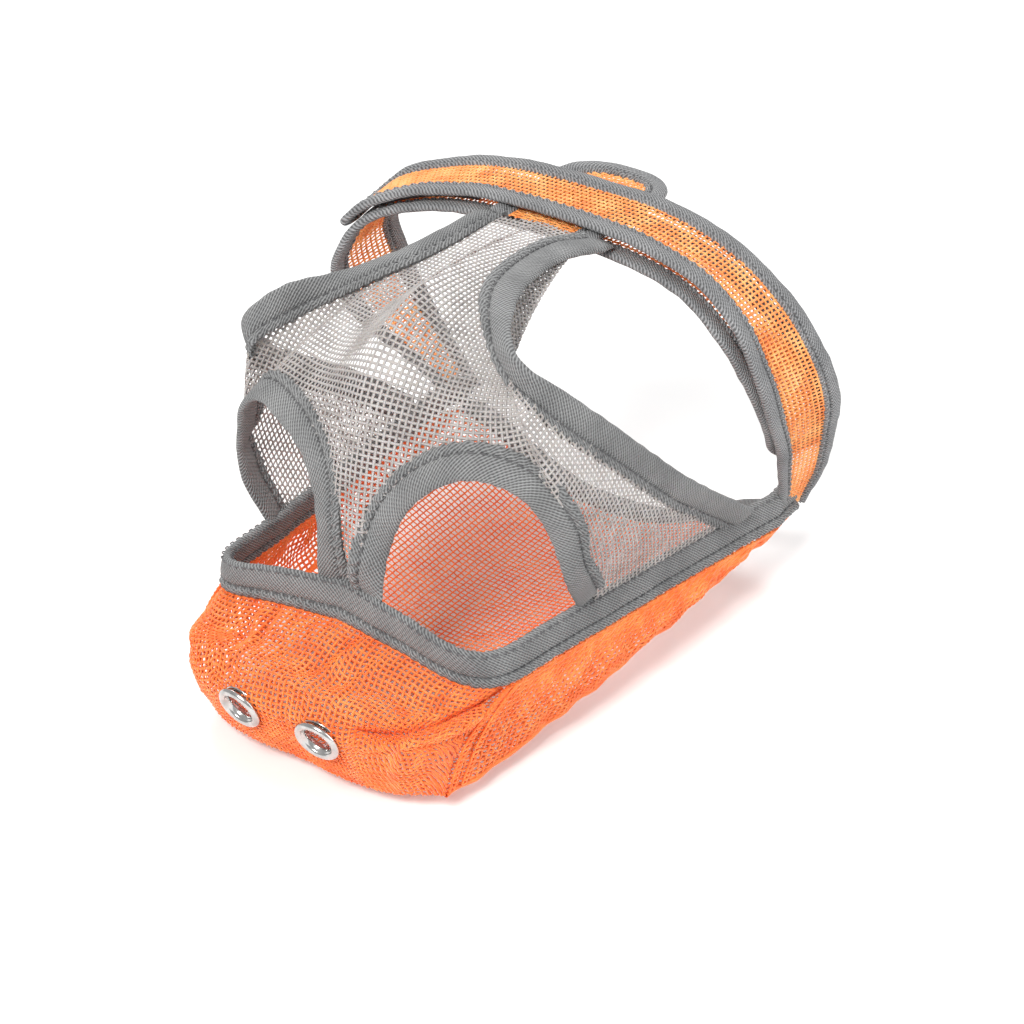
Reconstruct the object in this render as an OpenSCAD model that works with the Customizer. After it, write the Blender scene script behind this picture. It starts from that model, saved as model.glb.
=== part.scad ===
// Soft full-face mesh muzzle for a short-snouted dog, laid on its chin panel.
// The nose points along -Y, the dog's left side is +X and +Z is up.

/* [Fabric] */
// Thickness of the woven mesh panels
mesh_t = 0.9; // [0.6:0.1:1.2]
// Thickness of the folded edge binding
bind_t = 1.8; // [1.2:0.1:2]
// Width of the binding round the eye and ear openings
bind_w = 8.5; // [6:0.5:10]
// Width of the seam binding between face and pouch
seam_w = 9; // [7:0.5:10]
// Clearance left between sewn pieces
gap = 0.15; // [0.1:0.05:0.3]

/* [Collar] */
// Width of the binding on the straps and the tongue
edge_w = 6; // [4:0.5:7]
// Distance between the middles of the outer and the inner strap
strap_lift = 5.4; // [5:0.1:6]
// Where the outer strap ends, in ring stations from its root
outer_end = 11.5; // [10:0.1:11.5]
// Where the inner strap ends, in ring stations from the dog's left root
inner_end = 1.5; // [1.4:0.1:3]
// Distance from the jaw to the root of each strap, in ring stations
root_gap = 0.22; // [0.2:0.02:0.4]
// Corner radius of the strap ends
tip_r = 9; // [7:0.5:10]
// Length of the tongue from the forehead to its rounded end
tongue_l = 42.4; // [38:0.2:46]
// Width of the tongue over its binding
tongue_w = 30; // [24:1:32]

/* [Eyelets] */
// Bore of the eyelet barrels
eyelet_bore = 7; // [6:0.5:8]
// Outside diameter of the eyelet flange
eyelet_d = 11.5; // [10:0.5:12]
// Distance between the two eyelets
eyelet_gap = 22.6; // [20:0.2:26]

/* [Hidden] */
sides = [["left", 1], ["right", -1]];

orange = [0.96, 0.47, 0.16];
grey = [0.47, 0.48, 0.49];
pale = [0.72, 0.71, 0.7];

// Middle of the main seam, from the nose to the jaw on the dog's left
seam_pts = [[0, -50, 39], [18, -51, 37], [32, -50, 33.5], [38.5, -43, 31.5], [40.5, -26, 30], [43, -4, 28.5],
    [46, 20, 27], [49, 43, 25.5], [51.5, 60, 24.4]];
// Edges of the two eye openings, from the nose over the top to the cheek, each as if on the dog's left
eye_left_pts = [[11, -49, 44.3], [10.5, -45.5, 53], [15.5, -44.5, 65], [22.5, -42, 72], [30, -38.5, 74],
    [37.5, -34.5, 70.5], [43, -31.5, 62], [45, -27.5, 48], [41.3, -17, 34.9]];
eye_right_pts = [[9.3, -49, 44.6], [9.8, -46.5, 58], [13.5, -44.5, 69], [22, -42, 74], [31, -38.5, 75],
    [38.5, -36, 69], [42.5, -33, 58], [43.5, -31, 46], [40.2, -28, 35.6]];
// Middle line of the face, from the nose up to the collar
nose_pts = [[0, -48.6, 44.6], [0, -48, 57], [0, -44.5, 76], [0, -37, 92], [0, -22, 103], [0, 4, 104], [0, 30, 101]];
// Middle of the binding round each ear opening, from the collar down to the jaw
ear_left_pts = [[15, 30, 100], [15, 8, 105], [20.5, -17, 106.5], [32, -31, 100], [40.5, -23, 87], [46, -7, 71],
    [49, 16, 50], [49.5, 38, 33.4]];
ear_right_pts = [[15, 30, 99], [18, 12, 97.5], [26.5, -3, 93.5], [36.5, -18, 90], [43.5, -26, 83], [47, -12, 68],
    [49, 16, 50], [49.5, 38, 33.4]];
// How far the face stands out halfway between the eye and the outer edge, along the nose and the ear lists
nose_push = [[0, 0, 0], [1, -1, 0], [2, -2, 1], [3, -3, 4], [5, -4, 7], [6, -8, 13], [7, -18, 19]];
ear_push = [[6, -18, 18], [2, -13, 12], [1, -7, 7], [1, -4, 2], [2, -2, 0], [2, -1, 0], [1, 0, 0], [0, 0, 0]];
// Bottom edge of the cheek, from the chin corner to the throat
cheek_pts = [[35, -60, 5.5], [38, -40, 5.5], [41.5, -18, 8], [45, 8, 11], [48, 38, 14.5], [50.5, 68, 18]];
// Front edge of the chin, from the middle to the dog's left corner
chin_front_pts = [[0, -65, 3.4], [12, -65.5, 3.5], [25, -64, 4], [35, -60, 5.5]];
// Rear edge of the chin at the throat, from the middle to the dog's left
throat_pts = [[0, 66, 3.4], [18, 67, 4.6], [34, 68, 8.5], [45, 68, 14], [50.5, 68, 18]];
// Front and rear edges of the collar ring, from the top down to each jaw, as if on the dog's left
ring_front_left = [[0, 32, 102.8], [22, 31.5, 101.5], [41, 30.5, 97], [53.5, 29.5, 87.5], [56.5, 35, 73], [57, 41.5, 60],
    [56, 49.5, 47], [53.5, 57, 34.5], [51, 63, 24]];
ring_front_right = [[0, 32, 102.8], [22, 33, 102], [42, 31.5, 98.5], [56.5, 27, 91], [63.2, 26, 79], [63.4, 31, 65],
    [61.5, 42, 50], [57.5, 55, 36], [51, 63, 24]];
ring_rear_left = [[0, 57.5, 101.5], [21, 57, 100.5], [40, 55.5, 95.5], [54, 56.5, 85], [61.5, 61, 71], [62.9, 67, 57.5],
    [60, 72, 44], [56, 76, 31], [51, 78, 20]];
ring_rear_right = [[0, 57.5, 101.5], [22, 56, 102.5], [38, 54, 101], [53, 49, 97], [61, 50, 84], [60, 58, 68],
    [59, 66, 51], [56, 73, 35], [51, 78, 20]];

// Catmull-Rom curve through hand-chosen points, at station s
function spline(p, s) =
    let (n = len(p), t = max(0, min(n - 1 - 1e-6, s)), i = floor(t), f = t - i,
        a = i > 0 ? p[i - 1] : 2 * p[0] - p[1], b = p[i], c = p[i + 1],
        d = i + 2 < n ? p[i + 2] : 2 * p[n - 1] - p[n - 2])
    0.5 * (2 * b + (c - a) * f + (2 * a - 5 * b + 4 * c - d) * f * f + (3 * b - 3 * c + d - a) * f * f * f);
function run(p, s0, s1, n) = [for (k = [0:n]) spline(p, s0 + (s1 - s0) * k / n)];
function whole(p, n) = run(p, 0, len(p) - 1, n);
function flip(p) = [for (q = p) [-q.x, q.y, q.z]];
function reversed(p) = [for (k = [len(p) - 1:-1:0]) p[k]];
function tail(p) = [for (k = [1:len(p) - 1]) p[k]];
function both_sides(p) = concat(reversed(flip(p)), tail(p));
function unit(v) = v / max(norm(v), 1e-9);
function mix(a, b, f) = a + (b - a) * f;

// Rows of points between two edges, each row standing out by up to half of push
function between(a, b, n, push = []) =
    [for (f = [0:1 / n:1 + 0.1 / n]) [for (k = [0:len(a) - 1])
        mix(a[k], b[k], f) + (push == [] ? [0, 0, 0] : 2 * f * (1 - f) * push[k])]];
// An edge moved by w towards another edge, square to its own run
function towards(a, b, w) = [for (k = [0:len(a) - 1])
    let (t = unit(a[min(k + 1, len(a) - 1)] - a[max(k - 1, 0)]), d = b[k] - a[k]) a[k] + w * unit(d - t * (d * t))];

function grid_normal(g, i, j) =
    let (r = len(g) - 1, c = len(g[0]) - 1)
    unit(cross(g[min(i + 1, r)][j] - g[max(i - 1, 0)][j], g[i][min(j + 1, c)] - g[i][max(j - 1, 0)]));
// A grid of points moved by h along its normals
function lifted(g, h) = [for (i = [0:len(g) - 1]) [for (j = [0:len(g[0]) - 1]) g[i][j] + h * grid_normal(g, i, j)]];
function joined(g) = [for (r = g) for (p = r) p];

// A closed sheet of thickness t on a grid of points
module sheet(g, t) {
    r = len(g);
    c = len(g[0]);
    n = r * c;
    function cell(a, b, d, e) = [[a, b, d], [a, d, e]];
    top = [for (i = [0:r - 2]) for (j = [0:c - 2])
        each cell(i * c + j, i * c + j + 1, (i + 1) * c + j + 1, (i + 1) * c + j)];
    rim = concat([for (j = [0:c - 1]) j], [for (i = [1:r - 1]) i * c + c - 1],
        [for (j = [c - 2:-1:0]) (r - 1) * c + j], [for (i = [r - 2:-1:1]) i * c]);
    m = len(rim);
    walls = [for (k = [0:m - 1]) let (a = rim[k], b = rim[(k + 1) % m]) each cell(b, a, a + n, b + n)];
    polyhedron(concat(joined(lifted(g, t / 2)), joined(lifted(g, -t / 2))),
        concat(top, [for (f = top) [f[2] + n, f[1] + n, f[0] + n]], walls));
}

// Face panel round each eye opening, with the bindings of the eye and the ear
eye_n = 32;
nose_n = 14;
brow_n = 2;
ear_n = eye_n - nose_n - brow_n;
face_rows = 7;
function eye_pts(s) = s > 0 ? eye_left_pts : eye_right_pts;
function ear_pts(s) = s > 0 ? ear_left_pts : ear_right_pts;
function eye_edge(s) = whole(eye_pts(s), eye_n);
// Direction from the ear binding into the face, at list place k
function ear_inward(p, k) =
    let (t = unit(p[min(k + 1, 7)] - p[max(k - 1, 0)]),
        d = (k < 3 ? [0, p[k].y, p[k].z + 3] : [38, -32, 62]) - p[k])
    unit(d - t * (d * t));
function ear_line(s, w, n) =
    let (p = ear_pts(s)) whole([for (k = [0:len(p) - 1]) p[k] + w * ear_inward(p, k)], n);
// Up the nose, across the forehead, down behind the eye
function round_face(nose, ear) = concat(nose, [for (k = [1:brow_n]) mix(nose[nose_n], ear[0], k / brow_n)], tail(ear));
function face_edge(s) = round_face(whole(nose_pts, nose_n), ear_line(s, bind_w / 2 + gap, ear_n));
right_push = 0.4; // the right half is pressed flatter
function face_push(s) = (s > 0 ? 1 : right_push) * round_face(whole(nose_push, nose_n), whole(ear_push, ear_n));
function eye_band(s, w) =
    let (e = face_edge(s), push = face_push(s)) towards(eye_edge(s), [for (k = [0:len(e) - 1]) e[k] + 2 * push[k]], w);
module on_side(s) { mirror([s < 0 ? 1 : 0, 0, 0]) children(); }
module face_half(s) { on_side(s) sheet(between(eye_band(s, bind_w + 3 * gap), face_edge(s), face_rows, face_push(s)), mesh_t); }
module face_panel() {
    color(pale) {
        face_half(1);
        face_half(-1);
    }
}
module eye_binding(s) { color(grey) on_side(s) sheet(between(eye_edge(s), eye_band(s, bind_w), 2), bind_t); }
module ear_binding(s) {
    color(grey) on_side(s)
        sheet(between(ear_line(s, -bind_w / 2, 28), ear_line(s, bind_w / 2, 28), 2), bind_t);
}

// Main seam: the binding leans in a little towards its top edge
function lean(p, h) = p + [-0.02 * p.x * h / 4, h * 0.35 * max(0, 1 - abs(p.x) / 38), h];
seam_n = 32;
seam_mid = whole(seam_pts, seam_n);
function seam_edge(h) = [for (p = seam_mid) lean(p, h)];
module seam_binding() {
    color(grey) sheet(between(both_sides(seam_edge(-seam_w / 2)), both_sides(seam_edge(seam_w / 2)), 2), bind_t);
}

// Pouch: front, cheeks and chin
corner = 3;
front_n = 12;
front_rows = 10;
cheek_n = 22;
cheek_rows = 5;
front_bulge = 17;
seam_low = [for (p = seam_pts) lean(p, -seam_w / 2 - gap - mesh_t / 2)];
front_top = both_sides(run(seam_low, 0, corner, front_n));
front_low = both_sides(whole(chin_front_pts, front_n));
// Forward bulge of the front at f of its height, u from -1 to 1 across it
function bulge(f, u) =
    [0, -front_bulge * sin(180 * pow(f, 0.7)) * (1 - 0.6 * u * u), 4 * sin(180 * f) * (1 - 0.7 * u * u)];
function front_at(u, f) =
    mix(spline(front_top, front_n * (1 + u)), spline(front_low, front_n * (1 + u)), f) + bulge(f, u);
front_grid = [for (i = [0:front_rows]) [for (k = [-front_n:front_n]) front_at(k / front_n, i / front_rows)]];
module front_panel() {
    color(orange) difference() {
        sheet(front_grid, mesh_t);
        for (s = [1, -1]) at_eyelet(s) cylinder(h = 8, r = barrel_r + gap, center = true, $fn = 48);
    }
}

function cheek_at(k, f) =
    let (v = k / cheek_n, a = spline(seam_low, corner + (7.85 - corner) * v),
        b = spline(cheek_pts, v * (len(cheek_pts) - 1)))
    mix(a, b, f) + bulge(f, 1) * pow(1 - v, 6) + [2.5 * sin(180 * f) * sin(180 * v) + gap, gap, 0];
cheek_grid = [for (i = [0:cheek_rows]) [for (k = [0:cheek_n]) cheek_at(k, i / cheek_rows)]];
module cheek_panel(s) { color(orange) on_side(s) sheet(cheek_grid, mesh_t); }

// The chin spans the two cheeks, a little inside their bottom edges
chin_n = 14;
chin_inset = 0.9;
chin_sag = 3.15;
function chin_at(u, v) =
    let (c = spline(cheek_pts, v * (len(cheek_pts) - 1)), f = spline(chin_front_pts, abs(u) * 3),
        b = spline(throat_pts, abs(u) * 4), x = abs(u) * (c.x - chin_inset),
        m = mix(f, b, v), drop = 1 - u * u * u * u)
    [sign(u) * x, mix(mix(-64.5, 66, v), c.y, u * u) + chin_inset * (1 - v),
        mix(c.z, m.z, drop) - chin_sag * (1 - pow(2 * v - 1, 4)) * drop + 0.2];
chin_grid = [for (i = [0:chin_n]) [for (k = [-8:8]) chin_at(k / 8, i / chin_n)]];
module chin_panel() { color(orange) sheet(chin_grid, mesh_t); }

// Doubled seam allowance standing inside each front corner
allowance = 4.5;
module corner_seam(s) {
    edge = [for (i = [1:7]) front_at(1, i / 8) + [-1.3, 1.3, 0]];
    color(orange) on_side(s)
        sheet([edge, [for (p = edge) p + allowance / sqrt(2) * [-1, 1, 0]]], bind_t);
}

// Binding along the throat, behind the chin
throat_w = 6;
module throat_binding() {
    edge = both_sides(whole(throat_pts, 16));
    color(grey) sheet([for (h = [0.5, 0.5 + throat_w / 2, 0.5 + throat_w])
        [for (p = edge) p + [0, h, 0.12 * h]]], bind_t);
}

// Collar ring: s stations from the dog's left root, w across it, h outwards
station = 21;
ring_w = 26.5;
top_s = 8;
last_s = 16;
ring_front = concat(reversed(ring_front_left), tail(flip(ring_front_right)));
ring_rear = concat(reversed(ring_rear_left), tail(flip(ring_rear_right)));
function ring_mid(s) = (spline(ring_front, s) + spline(ring_rear, s)) / 2;
function ring_out(s) = unit(cross(spline(ring_rear, s) - spline(ring_front, s), ring_mid(s + 0.1) - ring_mid(s - 0.1)));
function ring_at(s, w, h) = mix(spline(ring_front, s), spline(ring_rear, s), w / ring_w) + h * ring_out(s);

// One long edge and round corner of a strap: [along, across] pairs, d inside its outline
function strap_side(l, w, r, d, n) = concat([for (k = [0:n]) [(l - r) * k / n, d]],
    [for (a = [18:18:90]) [l - r + (r - d) * sin(a), r - (r - d) * cos(a)]]);
function across(p, w, f) = [p.x, mix(p.y, w - p.y, f)];
function strap_loop(l, w, r, d, n) =
    let (e = strap_side(l, w, r, d, n), m = len(e) - 1)
    concat(e, [for (f = [0.25, 0.5, 0.75]) across(e[m], w, f)], reversed([for (p = e) across(p, w, 1)]));
// Edge binding and mesh of a strap that place() lays in space
module strap_edge(l, w, r, n, place) {
    color(grey) sheet([for (d = [0, edge_w / 2, edge_w]) [for (p = strap_loop(l, w, r, d, n)) place(p)]], bind_t);
}
module strap_mesh(l, w, r, n, place) {
    color(orange) sheet([for (p = strap_side(l, w, r, edge_w + gap, n))
        [for (f = [0:0.25:1]) place(across(p, w, f))]], mesh_t);
}
module strap_patch(a0, a1, w0, w1, t, place) {
    color(grey) sheet([for (a = [0:0.2:1]) [for (f = [0:0.5:1]) place([mix(a0, a1, a), mix(w0, w1, f)])]], t);
}

outer_l = (outer_end - root_gap) * station;
outer_place = function (p, h = 0) ring_at(root_gap + p.x / station, p.y, h);
patch_t = 0.8;
patch_h = (mesh_t + patch_t) / 2 + 2 * gap;
module outer_strap() strap_mesh(outer_l, ring_w, tip_r, 30, outer_place);
module outer_strap_binding() strap_edge(outer_l, ring_w, tip_r, 30, outer_place);
module outer_hook_patch() strap_patch(outer_l - 34, outer_l - 8, 7.5, ring_w - 7.5, patch_t,
    function (p) outer_place(p, -patch_h));

inner_root = last_s - 0.5;
inner_l = (inner_root - inner_end) * station;
// The inner strap comes out to the ring past the end of the outer one
function inner_lift(x) = strap_lift * pow(sin(90 * max(0, min(1, (x - 42) / 42))), 2);
inner_place = function (p, h = 0) ring_at(inner_root - p.x / station, ring_w - p.y, h - inner_lift(p.x));
module inner_strap() strap_mesh(inner_l, ring_w, tip_r, 40, inner_place);
module inner_strap_binding() strap_edge(inner_l, ring_w, tip_r, 40, inner_place);
module inner_loop_patch() strap_patch(inner_l - 205, inner_l - 160, 7.5, ring_w - 7.5, patch_t,
    function (p) inner_place(p, patch_h));

tongue_start = 1.6;
tongue_place = function (p, h = 0)
    ring_at(top_s + (p.y - tongue_w / 2) / (station + 1), tongue_start + p.x, h - strap_lift / 2);
tongue_r = 13;
module forehead_tongue() strap_mesh(tongue_l, tongue_w, tongue_r, 10, tongue_place);
module tongue_binding() strap_edge(tongue_l, tongue_w, tongue_r, 10, tongue_place);
module tongue_hook_patch() strap_patch(8, 24, 9, tongue_w - 9, 0.6, function (p) tongue_place(p, -0.85));

// Eyelets: bore, flange and backing washer, square to the front
barrel_r = eyelet_bore / 2 + 0.5;
flange_t = 0.9;
washer_t = 0.6;
eyelet_f = 0.58;
eyelet_u = eyelet_gap / 92;
function eyelet_mid() = front_at(eyelet_u, eyelet_f);
function eyelet_out() = unit(cross(front_at(eyelet_u + 0.02, eyelet_f) - front_at(eyelet_u - 0.02, eyelet_f),
    front_at(eyelet_u, eyelet_f - 0.02) - front_at(eyelet_u, eyelet_f + 0.02)));
module at_eyelet(s) {
    n = eyelet_out();
    on_side(s) translate(eyelet_mid()) rotate([0, acos(n.z), atan2(n.y, n.x)]) children();
}
module eyelet(s) {
    color("silver") at_eyelet(s) rotate_extrude($fn = 64) {
        translate([eyelet_bore / 2, -3.15]) square([barrel_r - eyelet_bore / 2, 3.75]);
        translate([eyelet_bore / 2, 0.55]) square([eyelet_d / 2 - eyelet_bore / 2, flange_t]);
    }
}
module washer(s) {
    color("silver") at_eyelet(s) translate([0, 0, -2.9]) rotate_extrude($fn = 64)
        translate([barrel_r + 0.1, 0]) square([eyelet_d / 2 - 0.5 - barrel_r - 0.1, washer_t]);
}

face_panel();
seam_binding();
front_panel();
chin_panel();
throat_binding();
outer_strap();
outer_strap_binding();
outer_hook_patch();
inner_strap();
inner_strap_binding();
inner_loop_patch();
forehead_tongue();
tongue_binding();
tongue_hook_patch();
for (q = sides) {
    eye_binding(q[1]);
    ear_binding(q[1]);
    cheek_panel(q[1]);
    corner_seam(q[1]);
    eyelet(q[1]);
    washer(q[1]);
}
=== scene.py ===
import math

import bmesh
import bpy
import numpy as np
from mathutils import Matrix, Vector


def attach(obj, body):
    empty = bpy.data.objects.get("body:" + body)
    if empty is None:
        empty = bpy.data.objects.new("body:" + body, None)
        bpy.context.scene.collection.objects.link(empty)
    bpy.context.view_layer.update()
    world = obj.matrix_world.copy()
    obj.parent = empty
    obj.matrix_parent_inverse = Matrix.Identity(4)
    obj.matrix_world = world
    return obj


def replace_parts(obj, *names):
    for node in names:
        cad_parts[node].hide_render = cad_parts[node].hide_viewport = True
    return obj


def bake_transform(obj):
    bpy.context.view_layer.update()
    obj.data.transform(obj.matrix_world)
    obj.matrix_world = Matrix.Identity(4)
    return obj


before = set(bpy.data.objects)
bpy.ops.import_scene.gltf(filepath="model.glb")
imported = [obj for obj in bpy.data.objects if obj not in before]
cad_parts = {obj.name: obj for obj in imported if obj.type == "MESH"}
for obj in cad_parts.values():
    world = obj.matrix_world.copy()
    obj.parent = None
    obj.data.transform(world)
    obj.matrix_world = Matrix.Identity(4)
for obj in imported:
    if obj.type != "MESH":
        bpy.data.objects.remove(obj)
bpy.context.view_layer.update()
rng = np.random.default_rng(7)
MM = 0.001

# ---------------------------------------------------------------- shared shape, in millimetres, nearly as in the CAD
mesh_t, bind_w, seam_w, gap = 0.9, 8.5, 9, 0.15
edge_w, strap_lift, outer_end, inner_end, root_gap, tip_r = 6, 5.4, 11.5, 1.5, 0.22, 9
tongue_l, tongue_w, tongue_r, tongue_start = 42.4, 30, 13, 1.6
eyelet_gap = 22.6
station, ring_w, top_s, last_s = 21, 26.5, 8, 16

seam_pts = [[0, -50, 39], [18, -51, 37], [32, -50, 33.5], [38.5, -43, 31.5], [40.5, -26, 30], [43, -4, 28.5],
            [46, 20, 27], [49, 43, 25.5], [51.5, 60, 24.4]]
eye_left_pts = [[11, -49, 44.3], [10.5, -45.5, 53], [15.5, -44.5, 65], [22.5, -42, 72], [30, -38.5, 74],
                [37.5, -34.5, 70.5], [43, -31.5, 62], [45, -27.5, 48], [41.3, -17, 34.9]]
eye_right_pts = [[7, -49, 44.6], [8.5, -46.5, 58], [13.5, -44.5, 69], [22, -42, 74], [31, -38.5, 75],
                 [38.5, -36, 69], [42.5, -33, 58], [43.5, -31, 46], [40.2, -28, 35.6]]
# middle line of the face, then the middle of the binding round each ear opening
nose_pts = [[0, -48.6, 44.6], [0, -48, 57], [0, -44.5, 76], [0, -37, 92], [0, -22, 103], [0, 4, 104],
            [0, 30, 101]]
ear_left_pts = [[15, 30, 100], [15, 8, 105], [20.5, -17, 106.5], [32, -31, 100], [40.5, -23, 87], [46, -7, 71],
                [49, 16, 50], [49.5, 38, 33.4]]
ear_right_pts = [[15, 30, 99], [18, 12, 97.5], [26.5, -3, 93.5], [36.5, -18, 90], [43.5, -26, 83], [47, -12, 68],
                 [49, 16, 50], [49.5, 38, 33.4]]
# how far the face stands out between the eye and its outer edge, along the nose and the ear lists
nose_push = [[0, 0, 0], [1, -1, 0], [2, -2, 1], [3, -3, 4], [5, -4, 7], [6, -8, 13], [7, -18, 19]]
ear_push = [[6, -18, 18], [2, -13, 12], [1, -7, 7], [1, -4, 2], [2, -2, 0], [2, -1, 0], [1, 0, 0], [0, 0, 0]]
# lower edges of the pouch: cheek, chin front and throat
cheek_pts = [[35, -60, 5.5], [38, -40, 5.5], [41.5, -18, 8], [45, 8, 11], [48, 38, 14.5], [50.5, 68, 18]]
chin_front_pts = [[0, -65, 3.4], [12, -65.5, 3.5], [25, -64, 4], [35, -60, 5.5]]
throat_pts = [[0, 66, 3.4], [18, 67, 4.6], [34, 68, 8.5], [45, 68, 14], [50.5, 68, 18]]
# front and rear edges of the collar, from the top down each side
ring_front_left = [[0, 32, 102.8], [22, 31.5, 101.5], [41, 30.5, 97], [53.5, 29.5, 87.5], [56.5, 35, 73],
                   [57, 41.5, 60], [56, 49.5, 47], [53.5, 57, 34.5], [51, 63, 24]]
ring_front_right = [[0, 32, 102.8], [22, 33, 102], [42, 31.5, 98.5], [56.5, 27, 91], [63.2, 26, 79], [63.4, 31, 65],
                    [61.5, 42, 50], [57.5, 55, 36], [51, 63, 24]]
ring_rear_left = [[0, 57.5, 101.5], [21, 57, 100.5], [40, 55.5, 95.5], [54, 56.5, 85], [61.5, 61, 71],
                  [62.9, 67, 57.5], [60, 72, 44], [56, 76, 31], [51, 78, 20]]
ring_rear_right = [[0, 57.5, 101.5], [22, 56, 102.5], [38, 54, 101], [53, 49, 97], [61, 50, 84], [60, 58, 68],
                   [59, 66, 51], [56, 73, 35], [51, 78, 20]]


def spline(p, s, free=False):
    """Catmull-Rom curve through p at stations s; free lets it run straight on past its ends."""
    p = np.asarray(p, float)
    n = len(p)
    s = np.atleast_1d(np.asarray(s, float))
    t = np.clip(s, 0, n - 1 - 1e-6)
    i = np.floor(t).astype(int)
    f = (t - i)[:, None]
    q = np.vstack([2 * p[0] - p[1], p, 2 * p[-1] - p[-2]])
    a, b, c, d = q[i], q[i + 1], q[i + 2], q[i + 3]
    r = 0.5 * (2 * b + (c - a) * f + (2 * a - 5 * b + 4 * c - d) * f ** 2 + (3 * b - 3 * c + d - a) * f ** 3)
    if free:
        r = r + (s - t)[:, None] * np.where((s < t)[:, None], p[1] - p[0], p[-1] - p[-2])
    return r


def whole(p, n):
    return spline(p, np.linspace(0, len(p) - 1, n + 1))


def flip(p):
    return np.asarray(p, float) * [-1, 1, 1]


def both_sides(p):
    p = np.asarray(p, float)
    return np.vstack([flip(p)[::-1], p[1:]])


def unit(v):
    return v / np.maximum(np.linalg.norm(v, axis=-1, keepdims=True), 1e-9)


def lengths(p):
    return np.r_[0, np.cumsum(np.linalg.norm(np.diff(p, axis=0), axis=1))]


def even(p, step, *more):
    """p, and lists that run beside it, at even steps of p's own length."""
    d = lengths(p)
    n = max(3, int(round(d[-1] / step)))
    s = np.linspace(0, d[-1], n + 1)
    return [np.stack([np.interp(s, d, q[:, k]) for k in range(3)], 1) for q in (p, *more)]


def towards(a, b, w):
    """Edge a moved by w towards edge b, square to its own run."""
    t = unit(np.vstack([a[1:2] - a[:1], a[2:] - a[:-2], a[-1:] - a[-2:-1]]))
    d = b - a
    return a + w * unit(d - t * (d * t).sum(1, keepdims=True))


def finer(grid, rows, cols):
    """A grid of points made finer in both directions."""
    g = np.stack([spline(r, np.linspace(0, grid.shape[1] - 1, cols + 1)) for r in grid])
    return np.stack([spline(g[:, j], np.linspace(0, grid.shape[0] - 1, rows + 1)) for j in range(cols + 1)], 1)


def ripple(x, y, seed, scale):
    """Smooth irregular waviness, about -1 to 1."""
    r = np.random.default_rng(seed)
    out = 0
    for k in range(5):
        a, ph = r.uniform(0, math.tau, 2)
        w = math.tau / (scale * r.uniform(0.6, 1.7))
        out = out + np.sin(w * (math.cos(a) * x + math.sin(a) * y) + ph)
    return out / 2.6


# Face: eye edge, band and outer edge
eye_n, nose_n, brow_n = 32, 14, 2
ear_n = eye_n - nose_n - brow_n


def eye_edge(s):
    return whole(eye_left_pts if s > 0 else eye_right_pts, eye_n)


def ear_line(s, w, n):
    p = np.asarray(ear_left_pts if s > 0 else ear_right_pts, float)
    out = []
    for k in range(len(p)):
        t = unit(p[min(k + 1, 7)] - p[max(k - 1, 0)])
        d = (np.array([0, p[k][1], p[k][2] + 3]) if k < 3 else np.array([38, -32, 62])) - p[k]
        out.append(p[k] + w * unit(d - t * d.dot(t)))
    return whole(out, n)


def round_face(nose, ear):
    return np.vstack([nose, [nose[-1] + (ear[0] - nose[-1]) * k / brow_n for k in range(1, brow_n + 1)], ear[1:]])


def face_push(s):
    return (1 if s > 0 else 0.4) * round_face(whole(nose_push, nose_n), whole(ear_push, ear_n))


def face_edge(s, w=bind_w / 2 + gap):
    return round_face(whole(nose_pts, nose_n), ear_line(s, w, ear_n))


def eye_band(s, w):
    return towards(eye_edge(s), face_edge(s) + 2 * face_push(s), w)


def lean(p, h):
    """p moved up the seam tape by h: the tape leans in over the nose."""
    p = np.asarray(p, float)
    out = p.copy()
    out[:, 0] += -0.02 * p[:, 0] * h / 4
    out[:, 1] += h * 0.35 * np.maximum(0, 1 - np.abs(p[:, 0]) / 38)
    out[:, 2] += h
    return out


# Pouch
corner, front_n, front_bulge = 3, 12, 17
seam_low = lean(seam_pts, -seam_w / 2 - gap - mesh_t / 2)
front_top = both_sides(spline(seam_low, np.linspace(0, corner, front_n + 1)))
front_low = both_sides(whole(chin_front_pts, front_n))
chin_sag = 3.15


def bulge(f, u):
    f = np.clip(f, 0, 1)
    z = np.zeros_like(f + u)
    return np.stack([z, -front_bulge * np.sin(math.pi * f ** 0.7) * (1 - 0.6 * u * u) + z,
                     4 * np.sin(math.pi * f) * (1 - 0.7 * u * u) + z], -1)


def front_at(u, f):
    u, f = np.atleast_1d(u).astype(float), np.atleast_1d(f).astype(float)
    a, b = spline(front_top, front_n * (1 + u)), spline(front_low, front_n * (1 + u))
    return a + (b - a) * f[:, None] + bulge(f, u)


def cheek_at(v, f):
    a = spline(seam_low, corner + (7.85 - corner) * v)
    b = spline(cheek_pts, v * (len(cheek_pts) - 1))
    side = np.stack([2.5 * np.sin(math.pi * f) * np.sin(math.pi * v) + gap, 0 * v + gap, 0 * v], -1)
    return a + (b - a) * f[:, None] + bulge(f, 1 + 0 * f) * ((1 - v) ** 6)[:, None] + side


def chin_at(u, v):
    c = spline(cheek_pts, v * (len(cheek_pts) - 1))
    m = (1 - v)[:, None] * spline(chin_front_pts, np.abs(u) * 3) + v[:, None] * spline(throat_pts, np.abs(u) * 4)
    drop = 1 - u ** 4
    return np.stack([np.sign(u) * np.abs(u) * c[:, 0],
                     (-64.5 + 130.5 * v) * (1 - u * u) + c[:, 1] * u * u,
                     c[:, 2] * (1 - drop) + m[:, 2] * drop - chin_sag * (1 - (2 * v - 1) ** 4) * drop + 0.2], -1)


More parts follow.
